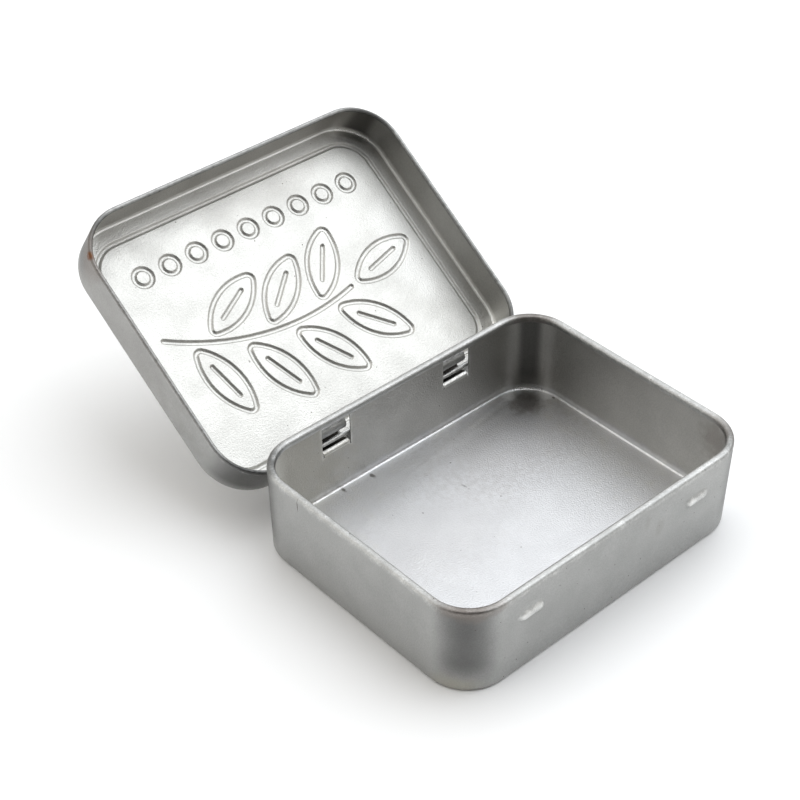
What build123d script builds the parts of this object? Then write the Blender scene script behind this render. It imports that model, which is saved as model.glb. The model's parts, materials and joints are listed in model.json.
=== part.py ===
"""Hinged mint tin: a drawn base and a drawn lid, both of thin tinplate with rolled rims.

Millimetres, +Z up. The origin is the middle of the base's underside. +X runs along the hinge and
+Y points from the front wall to the hinged back wall. The lid is drawn closed over the base and
then swung open about the hinge line, which is how the tin stands at rest.
"""
import os

from build123d import *

# Base: outer sizes at its rim
base_length = 86.0
base_width = 67.7
base_height = 22.5
base_corner_radius = 10.8
base_draft = 0.4  # how far the wall leans in from the rim down to the floor
base_fold_radius = 0.66  # mid-sheet radius of the fold between floor and wall
base_curl_diameter = 1.86
sheet = 0.28

# Lid: its skirt is as much larger than the base as its rim curl and the slack need
lid_slack = 0.4
lid_depth = 10.75
lid_fold_radius = 0.7
lid_curl_diameter = 1.08
lid_opening = 145.4

# Rim curls are rolled inwards through this angle
curl_turn = 270.0
fold_margin = 1.0  # flat strip of floor that each fold carries
cut_overrun = 0.28  # how far a cut starts outside the wall that it goes through

# Hinge: two hooks lanced out of the base's back wall hold the lid's rolled rim
hinge_height = 13.65
hook_spacing = 36.5
hook_width = 7.4
hook_side_gap = 0.42
hook_run_gap = 0.22  # free gap between the hook's floor and the lid's curl
hook_root_radius = 0.9
hook_heel_radius = 1.6
hook_crown_radius = 1.51
hook_crown_height = 16.4
hook_reach = 1.2  # from the hinge line out to the middle of the crown
hook_crown_turn = 222.0
hook_sweep_gap = 0.25  # what the lid's slot leaves round the hook as the lid turns

# Two pressed dimples in the front wall, which the lid's curl snaps under
dimple_spacing = 49.6
dimple_length = 6.0
dimple_height = 2.0
dimple_rise = 0.3
dimple_slope = 35.0
dimple_gap = 0.25  # above the closed lid's curl

# Embossed lines of the lid: raised outside, sunk inside
ridge_width = 1.7
groove_width = 1.25
vein_ridge_width = 1.3
vein_groove_width = 0.85
emboss_rise = 0.35
emboss_slope = 35.0

frame_inset = 4.4  # from the inside of the skirt to the middle of the border line

# Sprig: leaves stand by turns on both sides of an arched stem
leaf_length = 20.0
leaf_width = 7.8
leaf_tip_radius = 1.3
leaf_lean = 50.0
leaf_stalk = 2.2
vein_length = 10.5
stem_radius = 66.0
stem_rise = 5.0  # height of the arch's top above the lid's middle
stem_from, stem_to = 32.0, -13.0
upper_leaf_angles = (27.0, 16.0, 5.0, -6.0)
lower_leaf_angles = (23.0, 9.5, -4.0)

# Row of rings under the sprig
berry_diameter = 4.4
berry_count = 9
berry_spacing = 7.6
berry_drop = 20.6  # from the lid's middle to the row of rings

half_width = base_width / 2
lid_growth = lid_slack + lid_curl_diameter
hinge_y = half_width + lid_slack + lid_curl_diameter / 2
panel_inside = hinge_height - lid_curl_diameter / 2 + lid_depth - sheet
panel_outside = panel_inside + sheet
hinge_line = Axis((0, hinge_y, hinge_height), (1, 0, 0))


def sheet_section(floor_z, rim_z, curl_diameter, fold_radius, draft):
    """Mid line of the sheet from the floor round the fold, up the wall and round the rim curl.

    x counts outwards from the rim's outermost line and y is the height. rim_z is the rim's top
    edge on the base and its bottom edge on the lid.
    """
    towards_rim = 1 if rim_z > floor_z else -1
    floor_mid = floor_z + towards_rim * sheet / 2
    wall_top = rim_z - towards_rim * curl_diameter / 2
    wall_foot_x = -draft - sheet / 2
    with BuildLine() as mid_line:
        wall = FilletPolyline(
            (wall_foot_x - fold_radius - fold_margin, floor_mid),
            (wall_foot_x, floor_mid),
            (-sheet / 2, wall_top),
            radius=fold_radius,
        )
        JernArc(wall @ 1, (0, towards_rim), curl_diameter / 2 - sheet / 2, towards_rim * curl_turn)
    return mid_line.line


def sheet_shell(length, width, corner, floor_z, rim_z, curl_diameter, fold_radius, draft):
    """Four straight walls and four turned corners round a flat floor, all of one sheet."""
    along_x, along_y = length / 2 - corner, width / 2 - corner
    sides = (
        ((along_x, -width / 2), (0, -1), along_x, (along_x, -along_y)),
        ((length / 2, along_y), (1, 0), along_y, (along_x, along_y)),
        ((-along_x, width / 2), (0, 1), along_x, (-along_x, along_y)),
        ((-length / 2, -along_y), (-1, 0), along_y, (-along_x, -along_y)),
    )
    inset = draft + sheet / 2 + fold_radius + fold_margin
    towards_rim = 1 if rim_z > floor_z else -1
    mid_line = sheet_section(floor_z, rim_z, curl_diameter, fold_radius, draft)
    with BuildPart() as shell:
        for start, outwards, half_run, pivot in sides:
            back_along_wall = (outwards[1], -outwards[0], 0)
            wall_plane = Plane(origin=(*start, 0), x_dir=(*outwards, 0), z_dir=back_along_wall)
            with BuildSketch(wall_plane) as section:
                trace(mid_line, sheet)
            extrude(amount=2 * half_run)
            revolve(section.sketch, axis=Axis((*pivot, 0), (0, 0, 1)), revolution_arc=90)
        with BuildSketch(Plane.XY.offset(floor_z)):
            RectangleRounded(length - 2 * inset, width - 2 * inset, corner - inset)
        extrude(amount=towards_rim * sheet)
    return shell.part


def leaf_outline(growth):
    """Leaf between two equal arcs with eased tips, its middle at the origin and its length along x."""
    half, bulge = leaf_length / 2, leaf_width / 2
    with BuildSketch() as leaf:
        with BuildLine():
            ThreePointArc((-half, 0), (0, bulge), (half, 0))
            ThreePointArc((half, 0), (0, -bulge), (-half, 0))
        make_face()
        fillet(leaf.vertices(), leaf_tip_radius)
        offset(amount=growth, mode=Mode.REPLACE)
    return leaf.sketch


def leaf_places():
    """Middle and direction of every leaf, the last one lying along the end of the stem."""
    places = []
    for angles, lean in ((upper_leaf_angles, leaf_lean), (lower_leaf_angles, -leaf_lean), ((stem_to,), 0)):
        for angle in angles:
            arch_point = Vector(0, stem_radius).rotate(Axis.Z, angle)
            heading = Vector(1, 0).rotate(Axis.Z, angle + lean)
            middle = arch_point + heading * (leaf_stalk + leaf_length / 2)
            places.append(Location((middle.X, middle.Y + stem_rise - stem_radius, 0), angle + lean))
    return places


def stem_arc():
    """Mid line of the arched stem."""
    with BuildLine() as stem:
        CenterArc((0, stem_rise - stem_radius), stem_radius, 90 + stem_to, stem_from - stem_to)
    return stem.line.edges()[0]


def line_bands(plane, width, vein_width):
    """Solid bands of all the embossed lines, standing on a plane and narrowing upwards."""
    outer, inner = width / 2, -width / 2
    leaves = leaf_places()
    panel_length = base_length + 2 * lid_growth - 2 * sheet
    panel_width = base_width + 2 * lid_growth - 2 * sheet
    panel_corner = base_corner_radius + lid_growth - sheet
    band_sides = ((outer, emboss_slope, Mode.ADD), (inner, -emboss_slope, Mode.SUBTRACT))
    with BuildPart() as bands:
        for growth, slope, mode in band_sides:
            with BuildSketch(plane):
                RectangleRounded(
                    panel_length + 2 * (growth - frame_inset),
                    panel_width + 2 * (growth - frame_inset),
                    panel_corner + growth - frame_inset,
                )
            extrude(amount=emboss_rise, taper=slope, mode=mode)
        for growth, slope, mode in band_sides:
            for place in leaves:
                with BuildSketch(plane):
                    add(leaf_outline(growth).moved(place))
                extrude(amount=emboss_rise, taper=slope, mode=mode)
            for berry in GridLocations(berry_spacing, 0, berry_count, 1).local_locations:
                with BuildSketch(plane):
                    with Locations((berry.position.X, -berry_drop)):
                        Circle(berry_diameter / 2 + growth)
                extrude(amount=emboss_rise, taper=slope, mode=mode)
        for place in leaves:
            with BuildSketch(plane):
                with Locations(place):
                    SlotOverall(vein_length, vein_width)
            extrude(amount=emboss_rise, taper=emboss_slope)
        with BuildSketch(plane):
            SlotArc(stem_arc(), width)
        extrude(amount=emboss_rise, taper=emboss_slope)
    return bands.part


# Base with its hinge hooks and dimples
hook_centres = [hook_spacing * side / 2 for side in (-1, 1)]
window_width = hook_width + 2 * hook_side_gap
hook_floor = hinge_height - lid_curl_diameter / 2 - hook_run_gap - sheet / 2
window_bottom = hook_floor - hook_root_radius - sheet
window_top = base_height - base_curl_diameter
wall_lean = base_draft / (base_height - base_curl_diameter / 2 - sheet / 2)


def wall_mid(height):
    """Distance of the wall's mid sheet from its rim line at some height."""
    return sheet / 2 + wall_lean * (base_height - base_curl_diameter / 2 - height)


base_sheet = sheet_shell(
    base_length,
    base_width,
    base_corner_radius,
    0,
    base_height,
    base_curl_diameter,
    base_fold_radius,
    base_draft,
)
with BuildPart() as base_shell:
    add(base_sheet)
    for hook_x in hook_centres:
        with BuildSketch(Plane.XZ.offset(-half_width - cut_overrun)):
            with Locations((hook_x, (window_bottom + window_top) / 2)):
                Rectangle(window_width, window_top - window_bottom)
        extrude(amount=sheet + base_draft + 2 * cut_overrun, mode=Mode.SUBTRACT)
        root_y = half_width - wall_mid(window_bottom)
        crown_foot_y = hinge_y + hook_reach + hook_crown_radius
        with BuildSketch(Plane.YZ.offset(hook_x - hook_width / 2)):
            with BuildLine():
                Line((root_y, window_bottom), (root_y, hook_floor - hook_root_radius))
                root = JernArc((root_y, hook_floor - hook_root_radius), (0, 1), hook_root_radius, -90)
                heel_y = crown_foot_y - hook_heel_radius
                Line(root @ 1, (heel_y, hook_floor))
                heel = JernArc((heel_y, hook_floor), (1, 0), hook_heel_radius, 90)
                rise = Line(heel @ 1, (crown_foot_y, hook_crown_height))
                JernArc(rise @ 1, (0, 1), hook_crown_radius, hook_crown_turn)
            trace(line_width=sheet)
        extrude(amount=hook_width)
    dimple_z = hinge_height + lid_curl_diameter / 2 + dimple_gap + dimple_height / 2
    dimple_face = half_width - wall_mid(dimple_z) + sheet / 2
    for dimple_x in (-dimple_spacing / 2, dimple_spacing / 2):
        with BuildSketch(Plane.XZ.offset(dimple_face - sheet / 2)):
            with Locations((dimple_x, dimple_z)):
                SlotOverall(dimple_length, dimple_height)
        extrude(amount=dimple_rise + sheet / 2, taper=dimple_slope)
        with BuildSketch(Plane.XZ.offset(dimple_face - sheet - sheet / 4)):
            with Locations((dimple_x, dimple_z)):
                SlotOverall(dimple_length - sheet, dimple_height - sheet)
        extrude(amount=dimple_rise + sheet / 4, taper=dimple_slope, mode=Mode.SUBTRACT)
base_shell.part.label = "base_shell"

# Lid, drawn closed
emboss_ridges = line_bands(Plane.XY.offset(panel_outside), ridge_width, vein_ridge_width)
emboss_grooves = line_bands(Plane.XY.offset(panel_inside), groove_width, vein_groove_width)
crown_offset = Vector(hook_reach, hook_crown_height - hinge_height).length
slot_reach = crown_offset + hook_crown_radius + sheet / 2 + hook_sweep_gap
lid_sheet = sheet_shell(
    base_length + 2 * lid_growth,
    base_width + 2 * lid_growth,
    base_corner_radius + lid_growth,
    panel_outside,
    hinge_height - lid_curl_diameter / 2,
    lid_curl_diameter,
    lid_fold_radius,
    0,
)
with BuildPart() as closed_lid:
    add(lid_sheet)
    for hook_x in hook_centres:
        with BuildSketch(Plane.XZ.offset(-half_width - lid_growth - cut_overrun)):
            with Locations((hook_x, hinge_height + slot_reach / 2)):
                Rectangle(window_width, slot_reach)
        extrude(amount=sheet + cut_overrun, mode=Mode.SUBTRACT)
    add(emboss_ridges)
    add(emboss_grooves, mode=Mode.SUBTRACT)

# Lid, swung open to where it rests
with BuildPart() as lid_shell:
    add(closed_lid.part.rotate(hinge_line, -lid_opening))
lid_shell.part.label = "lid_shell"

os.makedirs("parts", exist_ok=True)
for shell in (base_shell, lid_shell):
    export_step(shell.part, f"parts/{shell.part.label}.step")
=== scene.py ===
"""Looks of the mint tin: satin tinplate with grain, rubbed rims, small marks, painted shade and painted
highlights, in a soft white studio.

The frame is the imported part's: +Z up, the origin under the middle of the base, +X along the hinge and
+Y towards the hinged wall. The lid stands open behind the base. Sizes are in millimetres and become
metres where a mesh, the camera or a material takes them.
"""
import json
import math

import bmesh
import bpy
from mathutils import Matrix, Quaternion, Vector, noise
from mathutils.geometry import delaunay_2d_cdt


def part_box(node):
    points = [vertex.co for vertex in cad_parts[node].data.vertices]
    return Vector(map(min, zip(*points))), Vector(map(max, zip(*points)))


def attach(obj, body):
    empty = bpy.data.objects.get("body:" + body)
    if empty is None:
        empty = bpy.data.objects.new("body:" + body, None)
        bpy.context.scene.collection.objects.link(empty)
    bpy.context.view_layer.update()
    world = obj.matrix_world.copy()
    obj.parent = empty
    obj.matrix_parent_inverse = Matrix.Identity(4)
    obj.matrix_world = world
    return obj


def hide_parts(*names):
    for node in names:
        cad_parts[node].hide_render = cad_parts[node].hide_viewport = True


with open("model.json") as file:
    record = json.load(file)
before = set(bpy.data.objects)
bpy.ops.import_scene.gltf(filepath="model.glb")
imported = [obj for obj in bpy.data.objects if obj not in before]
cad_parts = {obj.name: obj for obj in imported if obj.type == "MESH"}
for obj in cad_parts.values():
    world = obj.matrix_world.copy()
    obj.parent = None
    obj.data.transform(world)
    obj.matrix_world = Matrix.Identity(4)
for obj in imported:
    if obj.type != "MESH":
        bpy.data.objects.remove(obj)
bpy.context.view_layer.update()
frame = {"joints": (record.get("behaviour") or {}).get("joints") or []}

MM = 0.001

# The frame's own sizes
base_low, base_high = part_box("base_shell")
hinge = frame["joints"][0]
base_length = (base_high.x - base_low.x) / MM
base_height = base_high.z / MM
hinge_place = Vector(hinge["pos_m"]) / MM
lid_opening = math.radians(hinge["range_deg"][1])

# Base
base_width = 67.7
base_corner_radius = 10.8
base_draft = 0.4
base_fold_radius = 0.74
base_curl_diameter = 1.86
base_curl_power = 0.72
sheet = 0.28

# Lid
lid_slack = 0.4
lid_depth = 10.75
lid_fold_radius = 0.7
lid_curl_diameter = 1.08
lid_curl_power = 1.0
curl_turn = math.radians(270)
fold_margin = 1.0

# Hinge hooks of the base and the slots of the lid over them
hook_spacing = 36.5
hook_width = 7.4
hook_side_gap = 0.42
hook_run_gap = 0.6
hook_root_radius = 0.8
hook_heel_radius = 1.6
hook_crown_radius = 1.51
hook_crown_height = 16.4
hook_reach = 1.2
hook_crown_turn = math.radians(222)
hook_sweep_gap = 0.25

# Dimples of the front wall: soft bumps
dimple_spacing = 49.6
dimple_length = 6.0
dimple_height = 2.0
dimple_rise = 0.6
dimple_spread = 1.65
dimple_flatness = 3
dimple_gap = 0.25

# Embossed lines of the lid
line_width = 1.6
line_top = 0.36
vein_width = 1.5
vein_top = 0.25
emboss_rise = 0.45
slope_shares = (0.0, 0.16, 0.33, 0.5, 0.67, 0.84, 1.0)
line_margin = 0.06
border_inset = 4.4
leaf_length = 20.0
leaf_width = 7.8
leaf_tip_radius = 1.3
leaf_lean = 50.0
leaf_stalk = 2.2
vein_length = 10.5
stem_radius = 66.0
stem_rise = 5.0
stem_top, stem_from, stem_to = 90.0, 32.0, -13.0
upper_leaf_angles = (27.0, 16.0, 5.0, -6.0)
lower_leaf_angles = (23.0, 9.5, -4.0)
berry_diameter = 4.4
berry_count = 9
berry_spacing = 7.6
berry_drop = 20.6

# Fineness of the meshes
corner_steps = 16
fold_steps = 8
curl_steps = 28
wall_step = 1.4
fine_step = 0.26
line_step = 0.35
fill_closeness = 0.0001
place_decimals = 4
sharp_angle = math.radians(42)

# Cosine above which a direction counts as square to its wall
facing_out = 0.99

# Slight waviness of the drawn walls
wave_height = 0.05
wave_length = 17.0
wave_start = 3.0

# Places worked out from the sizes
half_width = base_width / 2
lid_growth = lid_slack + lid_curl_diameter
panel_inside = hinge_place.z - lid_curl_diameter / 2 + lid_depth - sheet
panel_outside = panel_inside + sheet
hook_floor = hinge_place.z - lid_curl_diameter / 2 - hook_run_gap - sheet / 2
window_bottom = hook_floor - hook_root_radius - sheet
window_top = base_height - base_curl_diameter
window_half = hook_width / 2 + hook_side_gap
hook_centres = (-hook_spacing / 2, hook_spacing / 2)
dimple_z = hinge_place.z + lid_curl_diameter / 2 + dimple_gap + dimple_height / 2

# Tinplate: its colours bare, rubbed bright and painted highlight, dirty and painted shade, marked, and a
# painted cool reflection tint
inside_colour = Vector((0.575, 0.57, 0.545))
outside_colour = Vector((0.42, 0.422, 0.414))
rubbed_and_highlight_colour = Vector((0.88, 0.88, 0.86))
stain_colour = Vector((0.42, 0.385, 0.29))
rust_colour = Vector((0.15, 0.065, 0.03))
shade_and_smudge_colour = Vector((0.22, 0.19, 0.17))
fleck_colour = Vector((0.11, 0.10, 0.09))
cool_reflection_colour = Vector((0.56, 0.568, 0.605))
dirt_and_shade_colour = Vector((0.028, 0.025, 0.022))
inside_roughness = 0.43
outside_roughness = 0.46
worn_roughness = 0.36
roughness_spread = (-0.02, 0.03)
corner_polish = 0.12
grain_depth = 0.1

# How fine each pattern of the tinplate is, and how much detail its noise has
grain_per_mm, grain_detail = 3.0, 3.0
blotch_per_mm, blotch_detail = 0.12, 3.0
rub_and_highlight_per_mm, rub_and_highlight_detail = 0.5, 4.0
mottle_per_mm, mottle_detail = 0.9, 4.0
blot_detail = 2.0
speck_per_mm = 0.6
speck_size = 0.1
speck_share = 0.72
rub_and_highlight_unevenness = 0.6
cloud_middle = 0.5

# Ramps of the tinplate: a value's two ends and what they turn into
blotch_shade = (0.3, 0.7, 0.96, 1.03)
grain_shade = (0.3, 0.7, 0.93, 1.06)
# Painted shade in the outer and inner corners, fading towards the foot, and on the inner walls
outer_corner_painted_shade = (0, 1.3, 0, 0.74)
outer_painted_shade_fading = (0, 0.4, 0, 1)
inner_corner_painted_shade = (0.78, 0.98, 0, 0.55)
inner_painted_shade_fading = (0, 0.25, 0.4, 1)
inner_wall_painted_shade = (0.01, 0.035, 0, 0.14)
# Painted highlight stripes beside each inner corner, fading towards the rim
highlight_stripe_start = (0.3, 0.6, 0, 0.45)
highlight_stripe_end = (0.62, 0.85, 1, 0)
highlight_stripe_height = (0, 0.8, 1, 0.15)
# Rubbed wear with painted highlights, and dirt with painted shade
rub_and_highlight_ramp = (0.15, 1.0, 0, 1)
rub_and_highlight_speckle = (0.38, 0.62, 0.5, 1.35)
dirt_and_shade_mottle = (0.4, 0.6, -0.6, -1.4)
blotch_roughness = (0.7, 0.3)
blot_edge = (0.8, 1.5, 1, 0)

# Wear and painted light: above 0 rubbed bright and painted highlight, below 0 dirt and painted shade. The
# fold's is of its outside and inside
# Painted highlights along the folds and in a band just under the rim
fold_highlight = (0.1, 1.0)
fold_start_highlight = (0, 0.2)
brow_highlight = 0.3
# Rubbed wear with painted highlight on the base's rim; dirt on the lid's rim
base_rim_wear_and_highlight = 0.3
lid_rim_wear = -0.22
# Painted highlight on the lid's rim beside the hooks, above this share of the height
hinge_rim_highlight = 0.7
hinge_rim_from = 0.9
# Painted highlight on the dimples
dimple_highlight = 0.5
dimple_highlight_power = 0.6
# Painted highlight on the cut edges of the openings and round the hooks' root bends
cut_edge_highlight = 0.5
hook_root_highlight = 0.6
# Painted shade on the hooks' backs, rolls, insides and side edges inside the windows
hook_back_shade = -0.12
hook_roll_shade = -0.38
hook_inside_shade = -1.7
hook_edge_shade = -0.3

# Marks and painted light of the inside, of the outside and of the rims: middle, half sizes, colour and
# strength
inner_marks_and_painted_light = (
    # Painted cool reflection tint over the base's floor, painted shade over its back right and its left,
    # then painted shade over the lid's far end and a painted highlight over its right side
    ((0.0, 0.0, sheet), (90.0, 80.0, 3.0), cool_reflection_colour, 0.55),
    ((22.0, 20.0, sheet), (30.0, 20.0, 1.2), shade_and_smudge_colour, 0.22),
    ((-14.0, 8.0, sheet), (34.0, 18.0, 1.2), shade_and_smudge_colour, 0.1),
    ((10.0, 92.0, 50.0), (75.0, 20.0, 17.0), shade_and_smudge_colour, 0.16),
    ((38.0, 64.0, 28.0), (14.0, 24.0, 20.0), rubbed_and_highlight_colour, 0.35),
    # Painted shade in the back right corner between two painted highlights, a darker patch on the right
    # wall near its front, and a stain on the back wall
    ((35.0, 26.4, sheet), (5.6, 5.6, 1.6), shade_and_smudge_colour, 0.6),
    ((33.9, 31.0, sheet), (2.4, 2.4, 1.6), rubbed_and_highlight_colour, 0.4),
    ((40.6, 25.2, sheet), (2.4, 2.4, 1.6), rubbed_and_highlight_colour, 0.4),
    ((42.6, -24.5, 15.5), (2.0, 6.5, 7.5), shade_and_smudge_colour, 0.45),
    ((-34.0, 33.0, 12.0), (28.0, 3.0, 22.0), stain_colour, 0.3),
    # Flecks on the floor, the right wall and the lid
    ((6.5, 22.6, sheet), (0.35, 0.3, 0.5), fleck_colour, 0.8),
    ((6.9, 6.5, sheet), (0.3, 0.3, 0.5), fleck_colour, 0.7),
    ((-9.9, 14.2, sheet), (0.3, 0.35, 0.5), fleck_colour, 0.7),
    ((-1.6, -8.4, sheet), (0.3, 0.25, 0.5), fleck_colour, 0.6),
    ((-17.9, 32.2, sheet), (0.7, 1.3, 0.6), fleck_colour, 0.8),
    ((-9.8, 31.4, sheet), (0.7, 1.3, 0.6), fleck_colour, 0.8),
    ((3.2, 14.6, sheet), (0.5, 0.9, 0.5), fleck_colour, 0.5),
    ((41.4, 23.4, sheet), (0.5, 0.6, 0.8), fleck_colour, 0.8),
    ((14.8, 76.7, 30.5), (0.35, 0.35, 0.5), fleck_colour, 0.7),
    ((-19.5, 62.4, 20.7), (0.35, 0.35, 0.5), fleck_colour, 0.7),
)
outer_marks_and_painted_light = (
    # Scratch on the left wall, and painted highlights on both dimples
    ((-42.9, 16.8, 20.6), (0.9, 0.2, 2.2), fleck_colour, 0.9),
    ((-26.8, -34.4, 15.4), (2.6, 1.4, 1.6), rubbed_and_highlight_colour, 0.7),
    ((-23.6, -34.4, 16.0), (1.8, 1.2, 1.3), rubbed_and_highlight_colour, 0.4),
    ((23.0, -34.4, 15.6), (1.8, 1.2, 1.4), rubbed_and_highlight_colour, 0.6),
    # Smudges on the front wall, a stain at the front corner and painted shade on the lid's left side
    ((9.1, -33.8, 18.0), (1.3, 1.2, 3.0), shade_and_smudge_colour, 0.16),
    ((13.4, -33.8, 14.0), (1.7, 1.2, 3.4), shade_and_smudge_colour, 0.2),
    ((-40.0, -28.6, 1.0), (6.5, 6.5, 4.6), stain_colour, 0.35),
    ((-44.4, 78.0, 40.0), (3.0, 55.0, 40.0), shade_and_smudge_colour, 0.22),
)
rim_marks_and_painted_shade = (
    # Painted shade on the rim at three corners of the base, and a darker rim at one corner of the lid
    ((39.0, 30.0, 22.2), (10.0, 9.0, 2.6), shade_and_smudge_colour, 0.45),
    ((41.5, -27.5, 22.2), (7.0, 8.0, 2.6), shade_and_smudge_colour, 0.35),
    ((-40.5, -31.3, 22.2), (11.0, 11.0, 3.0), shade_and_smudge_colour, 0.6),
    ((-43.7, 86.0, 48.9), (9.0, 9.0, 7.0), shade_and_smudge_colour, 0.45),
    # Rust and flecks on the lid's rim
    ((-43.7, 86.0, 48.9), (1.3, 1.8, 1.6), rust_colour, 0.95),
    ((-22.8, 91.4, 52.7), (0.6, 0.6, 0.6), fleck_colour, 0.8),
    ((-20.2, 91.9, 53.0), (0.6, 0.6, 0.6), fleck_colour, 0.7),
)

# Camera of the photograph, in millimetres, worked out from the tin's rims and corners
camera_place = Vector((-210.98, -202.757, 267.027))
camera_azimuth = math.radians(-42.049)
camera_elevation = math.radians(38.526)
camera_roll = math.radians(0.257)
camera_lens = 80.215
camera_sensor = 36.0
camera_shift = (-0.0056, 0.0043)

# Studio, in metres
floor_radius = 3.0
floor_colour = (0.96, 0.96, 0.96)
floor_roughness = 0.9
softbox_strength = 1.72
softbox_size = 1.3
softbox_distance = 1.0
softbox_colour = (0.90, 0.945, 1.0)
room_colour = (1.0, 0.985, 0.955)
softbox_from = Vector((0.522, -0.011, 0.853)).normalized()
room_level = 0.79
dark_level = 0.043
dark_side = Vector((-0.58, -0.64, 0.5)).normalized()
dark_edges = (0.58, 0.86)
bright_side = Vector((-0.78, 0.25, 0.57)).normalized()
bright_gain = 1.75


def on_circle(angle):
    """Unit vector at some angle."""
    return Vector((math.cos(angle), math.sin(angle)))


def steps_between(low, high, step, stretches=()):
    """Even places from low to high, with the closer step of each (low, high, step) stretch inside it."""
    ends = (low, high, *(end for stretch in stretches for end in stretch[:2]))
    edges = sorted({round(end, place_decimals) for end in ends})
    found = []
    for start, end in zip(edges, edges[1:]):
        middle = (start + end) / 2
        finest = min([step, *(s[2] for s in stretches if s[0] < middle < s[1])])
        count = max(1, round((end - start) / finest))
        found += [start + (end - start) * k / count for k in range(count)]
    return [*found, edges[-1]]


def arc(centre, radius, start, turn, count, side=1):
    """Points along an arc after its first, with the direction that the sheet's outside faces there."""
    angles = [start + turn * k / count for k in range(1, count + 1)]
    return [(centre + radius * on_circle(angle), side * on_circle(angle)) for angle in angles]


def pressed_arc(centre, radius, start, turn, count, power):
    """Points along an arc, as arc gives them, where a power below 1 flattens its four sides."""
    steps = []
    for k in range(1, count + 1):
        across, along = on_circle(start + turn * k / count)
        place, out = (
            Vector([math.copysign(abs(part) ** flatness, part) for part in (across, along)])
            for flatness in (power, 2 - power)
        )
        steps.append((centre + radius * place, out.normalized()))
    return steps


def sheet_section(floor_z, rim_z, curl_diameter, curl_power, fold_radius, draft, rim_wear_and_light, stretches):
    """Middle of the sheet from the floor round the fold, up the wall and round the rim curl.

    Gives the place, the outward direction and the wear and painted light of the outside and of the inside
    at each step.
    x counts outwards from the rim.
    """
    towards_rim = 1 if rim_z > floor_z else -1
    foot = Vector((-draft - sheet / 2, floor_z + towards_rim * sheet / 2))
    top = Vector((-sheet / 2, rim_z - towards_rim * curl_diameter / 2))
    up_wall = (top - foot).normalized()
    wall_out = towards_rim * Vector((up_wall.y, -up_wall.x))
    fold_run = fold_radius / math.tan(Vector((-1, 0)).angle(up_wall) / 2)
    fold_start = foot - Vector((fold_run, 0))
    fold_centre = fold_start + Vector((0, towards_rim * fold_radius))
    floor_out = Vector((0, -towards_rim))
    first = math.atan2(floor_out.y, floor_out.x)
    last = math.atan2(wall_out.y, wall_out.x)
    # The fold gets a painted highlight
    steps = [
        (fold_start - Vector((fold_margin, 0)), floor_out, (0, 0)),
        (fold_start, floor_out, fold_start_highlight),
    ]
    fold = arc(fold_centre, fold_radius, first, last - first, fold_steps)
    steps += [(place, out, fold_highlight) for place, out in fold]
    wall_start = foot + up_wall * fold_run
    low, high = sorted((wall_start.y, top.y))
    for height in steps_between(low, high, wall_step, stretches)[::towards_rim][1:]:
        share = (height - wall_start.y) / (top.y - wall_start.y)
        # Painted highlight band just under the rim
        near_rim = max(0.0, 1 - abs(height - top.y) / wall_step)
        steps.append((wall_start.lerp(top, share), wall_out, (brow_highlight * near_rim, 0)))
    curl_radius = (curl_diameter - sheet) / 2
    curl_centre = top - Vector((curl_radius, 0))
    curl = pressed_arc(curl_centre, curl_radius, 0, towards_rim * curl_turn, curl_steps, curl_power)
    # Rim wear: rubbed bright with painted highlight on the base's rim, dirty on the lid's
    steps += [(place, out, (rim_wear_and_light, rim_wear_and_light)) for place, out in curl]
    return steps


def rim_stations(length, width, corner, front, back, side):
    """Pivot, outward direction and share of the corner turn at each step round the rim."""
    along_x, along_y = length / 2 - corner, width / 2 - corner
    walls = (
        (Vector((0, -1)), [Vector((x, -along_y)) for x in front]),
        (Vector((1, 0)), [Vector((along_x, y)) for y in side]),
        (Vector((0, 1)), [Vector((x, along_y)) for x in reversed(back)]),
        (Vector((-1, 0)), [Vector((-along_x, -y)) for y in side]),
    )
    stations = []
    for outwards, pivots in walls:
        stations += [(pivot, outwards, 0.0) for pivot in pivots]
        for k in range(1, corner_steps):
            share = k / corner_steps
            turned = Matrix.Rotation(share * math.pi / 2, 2) @ outwards
            stations.append((pivots[-1], turned, math.sin(share * math.pi)))
    return stations


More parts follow.
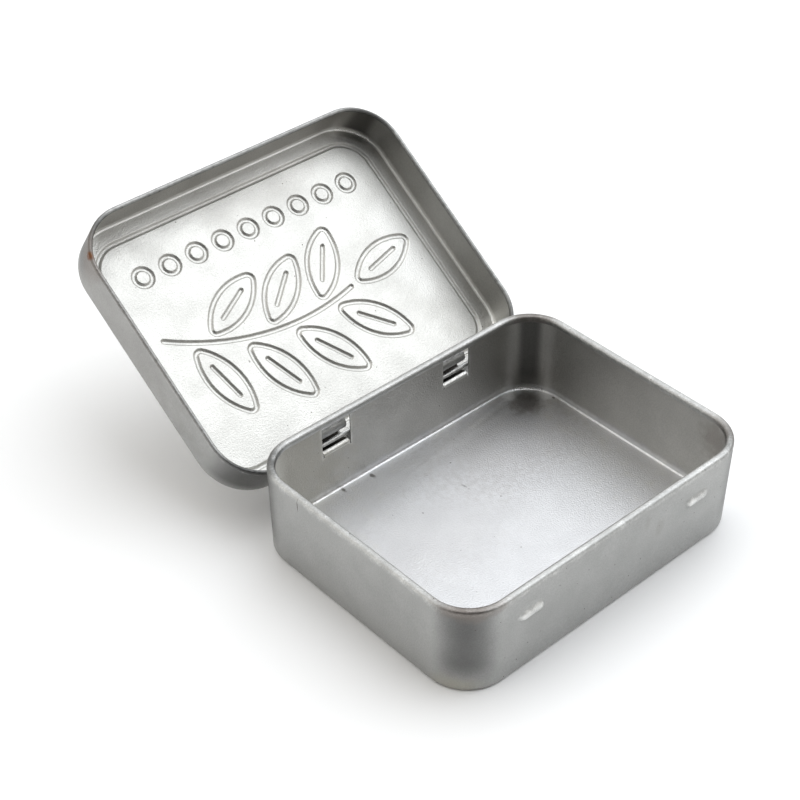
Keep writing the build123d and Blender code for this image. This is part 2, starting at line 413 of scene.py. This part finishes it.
class Shell:
    """A sheet metal shell in the making, with rows of outer and inner vertices."""

    def __init__(self):
        self.bm = bmesh.new()
        for name in ("wear_and_light", "corner", "height"):
            self.bm.verts.layers.float.new(name)
        self.wear_and_light = self.bm.verts.layers.float["wear_and_light"]
        self.corner = self.bm.verts.layers.float["corner"]
        self.height = self.bm.verts.layers.float["height"]
        self.outer, self.inner, self.holes = [], [], set()

    def vertex(self, place, wear_and_light=0.0, corner=0.0, height=0.0):
        """New vertex with its wear and painted light, its share of a corner's turn and its share of the
        wall's height.
        """
        made = self.bm.verts.new(place)
        made[self.wear_and_light], made[self.corner], made[self.height] = wear_and_light, corner, height
        return made

    def face(self, corners, outside):
        """New face of the outside or the inside finish."""
        made = self.bm.faces.new(corners)
        made.material_index = 1 if outside else 0
        made.smooth = True

    def sweep(self, stations, section, corner_radius, bump=None, hinge_highlight=0.0):
        """Places both sides of the sheet all round the rim."""
        floor_z = section[0][0].y
        depth = section[-1][0].y - floor_z
        for pivot, outwards, corner in stations:
            outer_row, inner_row = [], []
            for place, out, (outside_wear_and_light, inside_wear_and_light) in section:
                middle = Vector((*(pivot + outwards * (corner_radius + place.x)), place.y))
                shift = wave_height * noise.noise(middle / wave_length)
                shift *= min(1.0, abs(place.y - floor_z) / wave_start)
                if bump is not None and outwards.y < -facing_out:
                    pressed = bump(middle)
                    shift += pressed
                    # Painted highlight on the dimples, strongest on their tops
                    outside_wear_and_light += dimple_highlight * (pressed / dimple_rise) ** dimple_highlight_power
                middle += Vector((*(outwards * shift), 0))
                away = Vector((*(outwards * out.x), out.y)) * sheet / 2
                height = (place.y - floor_z) / depth
                beside_hook = any(abs(pivot.x - x) < window_half for x in hook_centres)
                # Painted highlight on the lid's rim beside the hooks
                if outwards.y > facing_out and beside_hook and height > hinge_rim_from:
                    outside_wear_and_light += hinge_highlight
                outer_row.append(self.vertex(middle + away, outside_wear_and_light, corner, height))
                inner_row.append(self.vertex(middle - away, inside_wear_and_light, corner, height))
            self.outer.append(outer_row)
            self.inner.append(inner_row)

    def cut(self, stations, section, low, high):
        """Opens the hinge wall between two heights at both hooks."""
        for i, (pivot, outwards, _) in enumerate(stations):
            far_pivot, far_outwards, _ = stations[(i + 1) % len(stations)]
            if min(outwards.y, far_outwards.y) < facing_out:
                continue
            middle_x = (pivot.x + far_pivot.x) / 2
            if all(abs(middle_x - x) > window_half for x in hook_centres):
                continue
            for j, (near, far) in enumerate(zip(section, section[1:])):
                upright = min(near[1].x, far[1].x) > facing_out
                if upright and low < (near[0].y + far[0].y) / 2 < high:
                    self.holes.add((i, j))

    def skin(self, joined=lambda neighbour, cell: False):
        """Faces of both sides, the free edge of the curl and the edges of the openings."""
        count, last = len(self.outer), len(self.outer[0]) - 1
        for i in range(count):
            n = (i + 1) % count
            for j in range(last):
                if (i, j) in self.holes:
                    continue
                for rows, outside in ((self.outer, True), (self.inner, False)):
                    self.face((rows[i][j], rows[n][j], rows[n][j + 1], rows[i][j + 1]), outside)
            outer_i, outer_n = self.outer[i][last], self.outer[n][last]
            self.face((outer_i, outer_n, self.inner[n][last], self.inner[i][last]), True)
        for i, j in sorted(self.holes):
            n = (i + 1) % count
            for neighbour, a, b in (
                (((i - 1) % count, j), (i, j), (i, j + 1)),
                ((n, j), (n, j), (n, j + 1)),
                ((i, j - 1), (i, j), (n, j)),
                ((i, j + 1), (i, j + 1), (n, j + 1)),
            ):
                if neighbour in self.holes or joined(neighbour, (i, j)):
                    continue
                edge = [rows[k][m] for rows in (self.outer, self.inner) for k, m in (a, b)]
                # Painted highlight on the cut edges of the openings
                for corner in edge:
                    corner[self.wear_and_light] = cut_edge_highlight
                self.face((edge[0], edge[1], edge[3], edge[2]), True)

    def finish(self, name, body, replaced, slot, turn=0.0):
        """Makes the object, swung about the hinge line where it is the lid's."""
        swing = Matrix.Rotation(turn, 4, "X")
        swing = Matrix.Translation(hinge_place) @ swing @ Matrix.Translation(-hinge_place)
        loose = [corner for corner in self.bm.verts if not corner.link_faces]
        bmesh.ops.delete(self.bm, geom=loose, context="VERTS")
        bmesh.ops.recalc_face_normals(self.bm, faces=self.bm.faces)
        self.bm.transform(Matrix.Scale(MM, 4) @ swing)
        mesh = bpy.data.meshes.new(name)
        self.bm.to_mesh(mesh)
        self.bm.free()
        mesh.set_sharp_from_angle(angle=sharp_angle)
        shell = bpy.data.objects.new(name, mesh)
        bpy.context.scene.collection.objects.link(shell)
        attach(shell, body)
        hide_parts(replaced)
        return shell


def dimple_bump(place):
    """How far the front wall is pressed out at some place."""
    reach = (dimple_length - dimple_height) / 2
    across = max(0.0, abs(abs(place.x) - dimple_spacing / 2) - reach)
    share = min(1.0, math.hypot(across, place.z - dimple_z) / dimple_spread)
    return dimple_rise * (1 - share ** dimple_flatness) ** 2


def hook_section(root_y):
    """Middle of a hook's sheet in the YZ plane, from the window's lower edge to its rolled tip."""
    root_centre = Vector((root_y + hook_root_radius, hook_floor - hook_root_radius))
    crown_foot_y = hinge_place.y + hook_reach + hook_crown_radius
    heel_centre = Vector((crown_foot_y - hook_heel_radius, hook_floor + hook_heel_radius))
    crown_centre = Vector((crown_foot_y - hook_crown_radius, hook_crown_height))
    steps = [(Vector((root_y, root_centre.y)), Vector((1, 0)))]
    steps += arc(root_centre, hook_root_radius, math.pi, -math.pi / 2, fold_steps, side=-1)
    steps.append((Vector((heel_centre.x, hook_floor)), Vector((0, -1))))
    steps += arc(heel_centre, hook_heel_radius, -math.pi / 2, math.pi / 2, fold_steps)
    steps.append((Vector((crown_foot_y, hook_crown_height)), Vector((1, 0))))
    steps += arc(crown_centre, hook_crown_radius, 0, hook_crown_turn, curl_steps)
    return steps


def hook_painted_light(step, place, out):
    """Painted light of a hook's outside, inside and edges at one step of its section: painted highlight
    round the root bend, painted shade elsewhere.
    """
    if step < fold_steps:
        return hook_root_highlight, hook_root_highlight, hook_root_highlight
    rolled = out.x < 0 and place.x > hinge_place.y
    return hook_roll_shade if rolled else hook_back_shade, hook_inside_shade, hook_edge_shade


def add_hooks(shell, stations, row):
    """Strips that leave the lower edge of each window and roll up behind the lid's rim."""
    for centre in hook_centres:
        run = [
            i for i, (pivot, outwards, _) in enumerate(stations)
            if outwards.y > facing_out and abs(pivot.x - centre) < hook_width / 2 + hook_side_gap / 2
        ]
        root_y = shell.outer[run[0]][row].co.y - sheet / 2
        outer = [[shell.outer[i][row] for i in run]]
        inner = [[shell.inner[i][row] for i in run]]
        last = len(run) - 1
        for step, (place, out) in enumerate(hook_section(root_y)):
            outside_painted, inside_painted, edge_painted = hook_painted_light(step, place, out)
            for rows, side, wear_and_light in ((outer, 1, outside_painted), (inner, -1, inside_painted)):
                at = place + side * out * sheet / 2
                row_painted = [max(wear_and_light, edge_painted) if k in (0, last) else wear_and_light for k in range(last + 1)]
                rows.append([shell.vertex((stations[i][0].x, *at), vertex_painted) for i, vertex_painted in zip(run, row_painted)])
        for a, b, c, d in zip(outer, outer[1:], inner, inner[1:]):
            for k in range(last):
                shell.face((a[k], a[k + 1], b[k + 1], b[k]), True)
                shell.face((c[k], c[k + 1], d[k + 1], d[k]), False)
            for k in (0, last):
                shell.face((a[k], b[k], d[k], c[k]), True)
        for k in range(last):
            shell.face((outer[-1][k], outer[-1][k + 1], inner[-1][k + 1], inner[-1][k]), True)


def build_base():
    """Drawn base with windows, hooks and dimples."""
    reach = dimple_length / 2 + dimple_spread
    dimples = [(x - reach, x + reach, fine_step) for x in (-dimple_spacing / 2, dimple_spacing / 2)]
    windows = [(x - window_half, x + window_half, wall_step) for x in hook_centres]
    hooks = [(x - hook_width / 2, x + hook_width / 2, wall_step / 2) for x in hook_centres]
    along_x, along_y = base_length / 2 - base_corner_radius, half_width - base_corner_radius
    stations = rim_stations(
        base_length,
        base_width,
        base_corner_radius,
        steps_between(-along_x, along_x, wall_step, dimples),
        steps_between(-along_x, along_x, wall_step, windows + hooks),
        steps_between(-along_y, along_y, wall_step),
    )
    heights = (
        (dimple_z - dimple_spread, dimple_z + dimple_spread, fine_step),
        (window_bottom, window_top, wall_step),
    )
    section = sheet_section(
        0,
        base_height,
        base_curl_diameter,
        base_curl_power,
        base_fold_radius,
        base_draft,
        base_rim_wear_and_highlight,
        heights,
    )
    row = min(range(len(section) - curl_steps), key=lambda j: abs(section[j][0].y - window_bottom))
    shell = Shell()
    shell.sweep(stations, section, base_corner_radius, dimple_bump)
    shell.cut(stations, section, window_bottom, window_top)

    def under_hook(neighbour, cell):
        """Whether the edge under this cell is where a hook leaves the wall."""
        middle = (stations[cell[0]][0].x + stations[(cell[0] + 1) % len(stations)][0].x) / 2
        on_hook = any(abs(middle - x) < hook_width / 2 for x in hook_centres)
        return on_hook and neighbour == (cell[0], row - 1)

    shell.skin(under_hook)
    add_hooks(shell, stations, row)
    shell.face([outer_row[0] for outer_row in shell.outer], True)
    shell.face([inner_row[0] for inner_row in shell.inner], False)
    return shell.finish("tin_base", "base", "base_shell", "tinplate_base")


def leaf_outline():
    """Mid line of a leaf's edge: two side arcs with eased tips."""
    half, bulge = leaf_length / 2, leaf_width / 2
    side_radius = (half ** 2 + bulge ** 2) / (2 * bulge)
    drop = side_radius - bulge
    tip_x = math.sqrt((side_radius - leaf_tip_radius) ** 2 - drop ** 2)
    lean = math.atan2(drop, tip_x)
    side_turn, tip_turn = math.pi - 2 * lean, 2 * lean
    side_count = round(side_radius * side_turn / line_step)
    tip_count = round(2 * leaf_tip_radius * tip_turn / line_step)
    return (
        arc(Vector((0, -drop)), side_radius, lean, side_turn, side_count)
        + arc(Vector((-tip_x, 0)), leaf_tip_radius, math.pi - lean, tip_turn, tip_count)
        + arc(Vector((0, drop)), side_radius, math.pi + lean, side_turn, side_count)
        + arc(Vector((tip_x, 0)), leaf_tip_radius, -lean, tip_turn, tip_count)
    )


def bar_outline(length):
    """Both sides of a straight mid line, with a half turn of directions at each end."""
    half, count = length / 2, round(length / line_step)
    ends = round(math.pi * line_width / line_step)
    there = [(Vector((half - length * k / count, 0)), Vector((0, 1))) for k in range(1, count)]
    back = [(-place, -out) for place, out in there]
    left = [(Vector((-half, 0)), on_circle(math.pi / 2 + math.pi * k / ends)) for k in range(ends + 1)]
    right = [(-place, -out) for place, out in left]
    return there + left + back + right


def stem_outline():
    """Both sides of the arched stem."""
    centre = Vector((0, stem_rise - stem_radius))
    start, turn = math.radians(stem_top + stem_to), math.radians(stem_from - stem_to)
    count = round(stem_radius * turn / line_step)
    ends = round(math.pi * line_width / line_step)
    above = arc(centre, stem_radius, start, turn, count)[:-1]
    below = [(place, -out) for place, out in reversed(above)]
    far, near = on_circle(start + turn), on_circle(start)
    far_turn = [Matrix.Rotation(math.pi * k / ends, 2) @ far for k in range(ends + 1)]
    near_turn = [Matrix.Rotation(math.pi * k / ends, 2) @ -near for k in range(ends + 1)]
    return (
        above
        + [(centre + stem_radius * far, out) for out in far_turn]
        + below
        + [(centre + stem_radius * near, out) for out in near_turn]
    )


def border_outline():
    """Rounded border line inside the edge of the panel."""
    growth = lid_growth - sheet - border_inset
    length = base_length + 2 * growth
    width = base_width + 2 * growth
    corner = base_corner_radius + growth
    along_x, along_y = length / 2 - corner, width / 2 - corner
    runs = [steps_between(-along, along, wall_step) for along in (along_x, along_x, along_y)]
    return [(pivot + out * corner, out) for pivot, out, _ in rim_stations(length, width, corner, *runs)]


def leaf_places():
    """Turn and middle of every leaf, the last one lying along the end of the stem."""
    places = []
    for angles, lean in ((upper_leaf_angles, leaf_lean), (lower_leaf_angles, -leaf_lean), ((stem_to,), 0)):
        for angle in angles:
            turn = Matrix.Rotation(math.radians(angle + lean), 2)
            arch_point = stem_radius * on_circle(math.radians(stem_top + angle))
            middle = arch_point + turn @ Vector((leaf_stalk + leaf_length / 2, 0))
            places.append((turn, middle + Vector((0, stem_rise - stem_radius))))
    return places


def slope(width, top):
    """Distances from a line's middle out over its slope and a flat margin, with the height at each."""
    run = (width - top) / 2
    eased = [(top / 2 + run * share, 1 - share * share * (3 - 2 * share)) for share in slope_shares]
    return [*eased, (width / 2 + line_margin, 0.0)]


def emboss_lines():
    """Every embossed line: its outline, and the distances across it with the height at each."""
    line, vein = slope(line_width, line_top), slope(vein_width, vein_top)
    both_sides = [(-away, height) for away, height in reversed(line)] + line
    leaf = leaf_outline()
    bar = bar_outline(vein_length - vein_width)
    lines = [(border_outline(), both_sides), (stem_outline(), line)]
    for turn, middle in leaf_places():
        lines.append(([(turn @ place + middle, turn @ out) for place, out in leaf], both_sides))
        lines.append(([(turn @ place + middle, turn @ out) for place, out in bar], vein))
    count = round(math.pi * berry_diameter / line_step)
    for k in range(berry_count):
        middle = Vector(((k - (berry_count - 1) / 2) * berry_spacing, -berry_drop))
        lines.append((arc(middle, berry_diameter / 2, 0, 2 * math.pi, count), both_sides))
    return lines


def fill_between(shell, rings, outside):
    """Flat faces inside the first ring, where each further ring turns filled into open and back."""
    corners = [corner for ring in rings for corner in ring]
    number = {corner: k for k, corner in enumerate(corners)}
    fences = [(number[a], number[b]) for ring in rings for a, b in zip(ring, ring[1:] + ring[:1])]
    flat = [corner.co.xy for corner in corners]
    triangles = delaunay_2d_cdt(flat, fences, [], 0, fill_closeness)[2]
    beside = {}
    for k, triangle in enumerate(triangles):
        for pair in zip(triangle, (*triangle[1:], triangle[0])):
            beside.setdefault(frozenset(pair), []).append(k)
    fences = {frozenset(fence) for fence in fences}
    first = beside[frozenset((0, 1))][0]
    filled, waiting = {first: True}, [first]
    while waiting:
        k = waiting.pop()
        for pair in zip(triangles[k], (*triangles[k][1:], triangles[k][0])):
            across = filled[k] != (frozenset(pair) in fences)
            for other in beside[frozenset(pair)]:
                if other not in filled:
                    filled[other] = across
                    waiting.append(other)
    for k, triangle in enumerate(triangles):
        if filled[k]:
            shell.face([corners[m] for m in triangle], outside)


def add_panel(shell, boundary, height, lines, outside):
    """One face of the lid's panel: the embossed lines, and flat faces between them."""
    fences = [boundary]
    for outline, distances in lines:
        rings = []
        for away, rise in distances:
            places = [place + out * away for place, out in outline]
            rings.append([shell.vertex((*place, height + emboss_rise * rise)) for place in places])
        count = len(outline)
        for near, far in zip(rings, rings[1:]):
            for k in range(count):
                n = (k + 1) % count
                shell.face((near[k], near[n], far[n], far[k]), outside)
        fences += [rings[0], rings[-1]]
    fill_between(shell, fences, outside)


def build_lid():
    """Drawn lid with its embossed panel, built closed and swung open."""
    slots = [(x - window_half, x + window_half, wall_step) for x in hook_centres]
    along_x, along_y = base_length / 2 - base_corner_radius, half_width - base_corner_radius
    stations = rim_stations(
        base_length + 2 * lid_growth,
        base_width + 2 * lid_growth,
        base_corner_radius + lid_growth,
        steps_between(-along_x, along_x, wall_step),
        steps_between(-along_x, along_x, wall_step, slots),
        steps_between(-along_y, along_y, wall_step),
    )
    crown_away = math.hypot(hook_reach, hook_crown_height - hinge_place.z)
    slot_top = hinge_place.z + crown_away + hook_crown_radius + sheet / 2 + hook_sweep_gap
    rim_z = hinge_place.z - lid_curl_diameter / 2
    heights = ((hinge_place.z, slot_top, wall_step),)
    section = sheet_section(
        panel_outside,
        rim_z,
        lid_curl_diameter,
        lid_curl_power,
        lid_fold_radius,
        0,
        lid_rim_wear,
        heights,
    )
    shell = Shell()
    shell.sweep(stations, section, base_corner_radius + lid_growth, hinge_highlight=hinge_rim_highlight)
    shell.cut(stations, section, hinge_place.z, slot_top)
    shell.skin()
    lines = emboss_lines()
    add_panel(shell, [row[0] for row in shell.outer], panel_outside, lines, True)
    add_panel(shell, [row[0] for row in shell.inner], panel_inside, lines, False)
    return shell.finish("tin_lid", "lid", "lid_shell", "tinplate_lid", -lid_opening)


def node(tree, kind, **settings):
    """Adds a shader node, with its sockets' values and its own settings by name."""
    made = tree.nodes.new(kind)
    for name, value in settings.items():
        if name in made.inputs:
            made.inputs[name].default_value = value
        else:
            setattr(made, name, value)
    return made


def feed(tree, socket, value):
    """Sets a socket, or links it where the value is another socket."""
    if isinstance(value, bpy.types.NodeSocket):
        tree.links.new(value, socket)
    else:
        socket.default_value = value


def calculate(tree, operation, first, second):
    """Arithmetic on two numbers."""
    made = node(tree, "ShaderNodeMath", operation=operation)
    feed(tree, made.inputs[0], first)
    feed(tree, made.inputs[1], second)
    return made.outputs[0]


def scaled(tree, vector, factor):
    """A vector or colour times a number."""
    made = node(tree, "ShaderNodeVectorMath", operation="SCALE")
    feed(tree, made.inputs[0], vector)
    feed(tree, made.inputs["Scale"], factor)
    return made.outputs["Vector"]


def remap(tree, value, low, high, at_low, at_high):
    """Eases from one number to another as a value goes from low to high."""
    made = node(tree, "ShaderNodeMapRange", interpolation_type="SMOOTHSTEP")
    for name, number in (("From Min", low), ("From Max", high), ("To Min", at_low), ("To Max", at_high)):
        feed(tree, made.inputs[name], number)
    feed(tree, made.inputs["Value"], value)
    return made.outputs["Result"]


def remap_linear(tree, share, at_none, at_full):
    """One number turning into another as a share goes from 0 to 1."""
    made = node(tree, "ShaderNodeMix", data_type="FLOAT")
    numbers = [socket for socket in made.inputs if socket.type == "VALUE" and socket.name in "AB"]
    feed(tree, made.inputs["Factor"], share)
    for socket, number in zip(numbers, (at_none, at_full)):
        feed(tree, socket, number)
    return next(socket for socket in made.outputs if socket.type == "VALUE")


def blend(tree, share, under, over):
    """One colour laid over another."""
    made = node(tree, "ShaderNodeMix", data_type="RGBA")
    colours = [socket for socket in made.inputs if socket.type == "RGBA"]
    feed(tree, made.inputs["Factor"], share)
    for socket, colour in zip(colours, (under, over)):
        feed(tree, socket, (*colour, 1) if isinstance(colour, Vector) else colour)
    return next(socket for socket in made.outputs if socket.type == "RGBA")


def cloud(tree, place, per_mm, detail):
    """Soft noise."""
    made = node(tree, "ShaderNodeTexNoise", Scale=per_mm, Detail=detail)
    tree.links.new(place, made.inputs["Vector"])
    return made.outputs["Fac"]


def attribute(tree, name):
    """Number kept at each vertex of the mesh."""
    return node(tree, "ShaderNodeAttribute", attribute_name=name).outputs["Fac"]


def mark(tree, place, middle, half_sizes):
    """1 inside an uneven blot and 0 away from it."""
    away = node(tree, "ShaderNodeVectorMath", operation="SUBTRACT")
    tree.links.new(place, away.inputs[0])
    away.inputs[1].default_value = middle
    shrunk = node(tree, "ShaderNodeVectorMath", operation="DIVIDE")
    tree.links.new(away.outputs["Vector"], shrunk.inputs[0])
    shrunk.inputs[1].default_value = half_sizes
    length = node(tree, "ShaderNodeVectorMath", operation="LENGTH")
    tree.links.new(shrunk.outputs["Vector"], length.inputs[0])
    unevenness = cloud(tree, place, 1 / min(half_sizes), blot_detail)
    return remap(tree, calculate(tree, "ADD", length.outputs["Value"], unevenness), *blot_edge)


def specks(tree, place):
    """1 in small sparse specks."""
    made = node(tree, "ShaderNodeTexVoronoi", Scale=speck_per_mm)
    tree.links.new(place, made.inputs["Vector"])
    apart = node(tree, "ShaderNodeSeparateColor")
    tree.links.new(made.outputs["Color"], apart.inputs["Color"])
    kept = calculate(tree, "GREATER_THAN", apart.outputs["Red"], speck_share)
    size = calculate(tree, "MULTIPLY", apart.outputs["Green"], speck_size)
    small = calculate(tree, "LESS_THAN", made.outputs["Distance"], size)
    return calculate(tree, "MULTIPLY", kept, small)


def painted_corner_and_wall_shade(tree, corner, height, outside):
    """Painted shade: how much darker the corners and walls are than bare tinplate."""
    corner_shade, shade_fading = inner_corner_painted_shade, inner_painted_shade_fading
    if outside:
        corner_shade, shade_fading = outer_corner_painted_shade, outer_painted_shade_fading
    shade_share = remap(tree, corner, *corner_shade)
    shade_share = calculate(tree, "MULTIPLY", shade_share, remap(tree, height, *shade_fading))
    if outside:
        return shade_share
    return calculate(tree, "ADD", shade_share, remap(tree, height, *inner_wall_painted_shade))


def painted_highlight_stripes(tree, colour, corner, height):
    """Painted highlight stripes on both sides of each inner corner, fading towards the rim."""
    highlight_stripes = remap(tree, corner, *highlight_stripe_start)
    highlight_stripes = calculate(tree, "MULTIPLY", highlight_stripes, remap(tree, corner, *highlight_stripe_end))
    highlight_stripes = calculate(tree, "MULTIPLY", highlight_stripes, remap(tree, height, *highlight_stripe_height))
    return blend(tree, highlight_stripes, colour, rubbed_and_highlight_colour)


def rubbing_and_highlights(tree, place, wear_and_light, grain, outside):
    """How bright wear has rubbed each place, with the painted highlights."""
    cloudy = calculate(tree, "SUBTRACT", cloud(tree, place, rub_and_highlight_per_mm, rub_and_highlight_detail), cloud_middle)
    uneven = calculate(tree, "MULTIPLY", cloudy, rub_and_highlight_unevenness)
    rubbed_and_lit = remap(tree, calculate(tree, "ADD", wear_and_light, uneven), *rub_and_highlight_ramp)
    if outside:
        rubbed_and_lit = calculate(tree, "MULTIPLY", rubbed_and_lit, remap(tree, grain, *rub_and_highlight_speckle))
    return rubbed_and_lit


def tinplate(name, bare_colour, base_roughness, marks_and_painted_light, outside):
    """Satin tinplate with grain, mottling, rubbed edges, specks and marks, and with painted shade, painted
    highlights and a painted reflection tint.
    """
    material = bpy.data.materials.new(name)
    material.use_nodes = True
    tree = material.node_tree
    shader = tree.nodes["Principled BSDF"]
    place = scaled(tree, node(tree, "ShaderNodeTexCoord").outputs["Object"], 1 / MM)
    wear_and_light, corner, height = (attribute(tree, kept) for kept in ("wear_and_light", "corner", "height"))
    grain = cloud(tree, place, grain_per_mm, grain_detail)
    blotches = cloud(tree, place, blotch_per_mm, blotch_detail)
    rubbed_and_lit = rubbing_and_highlights(tree, place, wear_and_light, grain, outside)

    # Colour
    shade = remap(tree, blotches, *blotch_shade)
    shade = calculate(tree, "MULTIPLY", shade, remap(tree, grain, *grain_shade))
    # Painted shade darkens the corners and the inner walls
    unshaded = calculate(tree, "SUBTRACT", 1, painted_corner_and_wall_shade(tree, corner, height, outside))
    colour = scaled(tree, bare_colour, calculate(tree, "MULTIPLY", shade, unshaded))
    if not outside:
        # Painted highlight stripes beside each inner corner
        colour = painted_highlight_stripes(tree, colour, corner, height)
    # Rubbed wear and painted highlights
    colour = blend(tree, rubbed_and_lit, colour, rubbed_and_highlight_colour)
    # Dirt and painted shade where the wear and painted light is below 0
    mottle = remap(tree, cloud(tree, place, mottle_per_mm, mottle_detail), *dirt_and_shade_mottle)
    colour = blend(tree, calculate(tree, "MULTIPLY", wear_and_light, mottle), colour, dirt_and_shade_colour)
    colour = blend(tree, specks(tree, place), colour, fleck_colour)
    # Marks, with painted shade, painted highlights and a painted cool reflection tint among them
    for middle, half_sizes, mark_colour, strength in marks_and_painted_light:
        share = calculate(tree, "MULTIPLY", mark(tree, place, middle, half_sizes), strength)
        colour = blend(tree, share, colour, mark_colour)
    tree.links.new(colour, shader.inputs["Base Color"])

    # Finish
    smooth, coarse = (base_roughness + spread for spread in roughness_spread)
    rough = remap(tree, blotches, *blotch_roughness, smooth, coarse)
    rough = remap_linear(tree, rubbed_and_lit, rough, worn_roughness)
    if not outside:
        rough = calculate(tree, "SUBTRACT", rough, calculate(tree, "MULTIPLY", corner, corner_polish))
    tree.links.new(rough, shader.inputs["Roughness"])
    shader.inputs["Metallic"].default_value = 1.0
    bump = node(tree, "ShaderNodeBump", Distance=grain_depth * MM)
    tree.links.new(grain, bump.inputs["Height"])
    tree.links.new(bump.outputs["Normal"], shader.inputs["Normal"])
    return material


def make_camera():
    """Camera at the photograph's place and angle."""
    data = bpy.data.cameras.new("camera")
    data.lens = camera_lens
    data.sensor_width = camera_sensor
    data.shift_x, data.shift_y = camera_shift
    camera = bpy.data.objects.new("camera", data)
    forward = Vector((
        -math.sin(camera_azimuth) * math.cos(camera_elevation),
        math.cos(camera_azimuth) * math.cos(camera_elevation),
        -math.sin(camera_elevation),
    ))
    camera.location = camera_place * MM
    camera.rotation_mode = "QUATERNION"
    camera.rotation_quaternion = Quaternion(forward, camera_roll) @ forward.to_track_quat("-Z", "Y")
    bpy.context.scene.collection.objects.link(camera)
    bpy.context.scene.camera = camera


def make_floor():
    """Plain pale floor under the tin."""
    mesh = bpy.data.meshes.new("floor")
    signs = ((-1, -1), (1, -1), (1, 1), (-1, 1))
    corners = [(across * floor_radius, along * floor_radius, 0) for across, along in signs]
    mesh.from_pydata(corners, [], [(0, 1, 2, 3)])
    material = bpy.data.materials.new("floor")
    material.use_nodes = True
    shader = material.node_tree.nodes["Principled BSDF"]
    shader.inputs["Base Color"].default_value = (*floor_colour, 1)
    shader.inputs["Roughness"].default_value = floor_roughness
    mesh.materials.append(material)
    floor = bpy.data.objects.new("floor", mesh)
    bpy.context.scene.collection.objects.link(floor)


def make_lights():
    """A softbox high on the right, and a pale room, dark at the photographer and brightest on the left."""
    data = bpy.data.lights.new("softbox", "AREA")
    data.shape = "SQUARE"
    data.size = softbox_size
    data.color = softbox_colour
    data.energy = softbox_strength * math.pi * softbox_size ** 2
    softbox = bpy.data.objects.new("softbox", data)
    softbox.location = softbox_from * softbox_distance
    softbox.rotation_mode = "QUATERNION"
    softbox.rotation_quaternion = (-softbox_from).to_track_quat("-Z", "Y")
    bpy.context.scene.collection.objects.link(softbox)
    world = bpy.data.worlds.new("room")
    bpy.context.scene.world = world
    world.use_nodes = True
    tree = world.node_tree
    background = tree.nodes["Background"]
    direction = node(tree, "ShaderNodeTexCoord").outputs["Generated"]
    facing = []
    for side in (dark_side, bright_side):
        dot = node(tree, "ShaderNodeVectorMath", operation="DOT_PRODUCT")
        dot.inputs[1].default_value = side
        tree.links.new(direction, dot.inputs[0])
        facing.append(dot.outputs["Value"])
    level = remap(tree, facing[0], *dark_edges, room_level, dark_level)
    gain = remap(tree, facing[1], 0, 1, 1, bright_gain)
    tree.links.new(calculate(tree, "MULTIPLY", level, gain), background.inputs["Strength"])
    background.inputs["Color"].default_value = (*room_colour, 1)


make_camera()
make_floor()
make_lights()
finishes = (
    tinplate("tinplate_inside", inside_colour, inside_roughness, inner_marks_and_painted_light + rim_marks_and_painted_shade, False),
    tinplate("tinplate_outside", outside_colour, outside_roughness, outer_marks_and_painted_light + rim_marks_and_painted_shade, True),
)
for shell_object in (build_base(), build_lid()):
    for finish in finishes:
        shell_object.data.materials.append(finish)

bpy.context.scene.view_settings.view_transform = "Standard"
